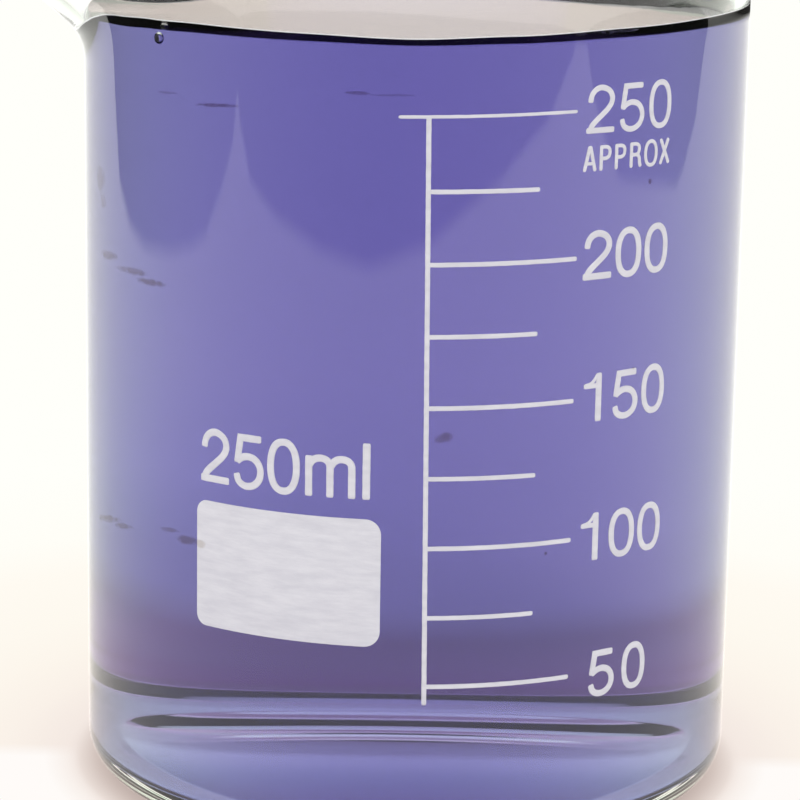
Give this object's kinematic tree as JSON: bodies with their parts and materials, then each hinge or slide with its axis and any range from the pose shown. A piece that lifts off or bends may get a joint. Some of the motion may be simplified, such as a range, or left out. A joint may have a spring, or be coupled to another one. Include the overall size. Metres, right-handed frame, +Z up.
{
  "type": "glass beaker",
  "caption": "Low-form laboratory beaker of clear glass with a pouring spout and a white enamel scale, standing with blue-violet liquid in it.",
  "frame": {"origin": "centre of the ring that the base stands on, on the resting plane", "axes": "+Z up along the axis of the beaker, the scale faces -Y, the spout points to -X"},
  "size_m": [0.0848, 0.0738, 0.094],
  "materials": {
    "clear_glass": "polished",
    "violet_liquid": "polished",
    "white_enamel": "satin"
  },
  "bodies": {
    "root": {"beaker_glass": "clear_glass", "liquid": "violet_liquid", "graduation_scale": "white_enamel", "marking_patch": "white_enamel"}
  },
  "joints": []
}
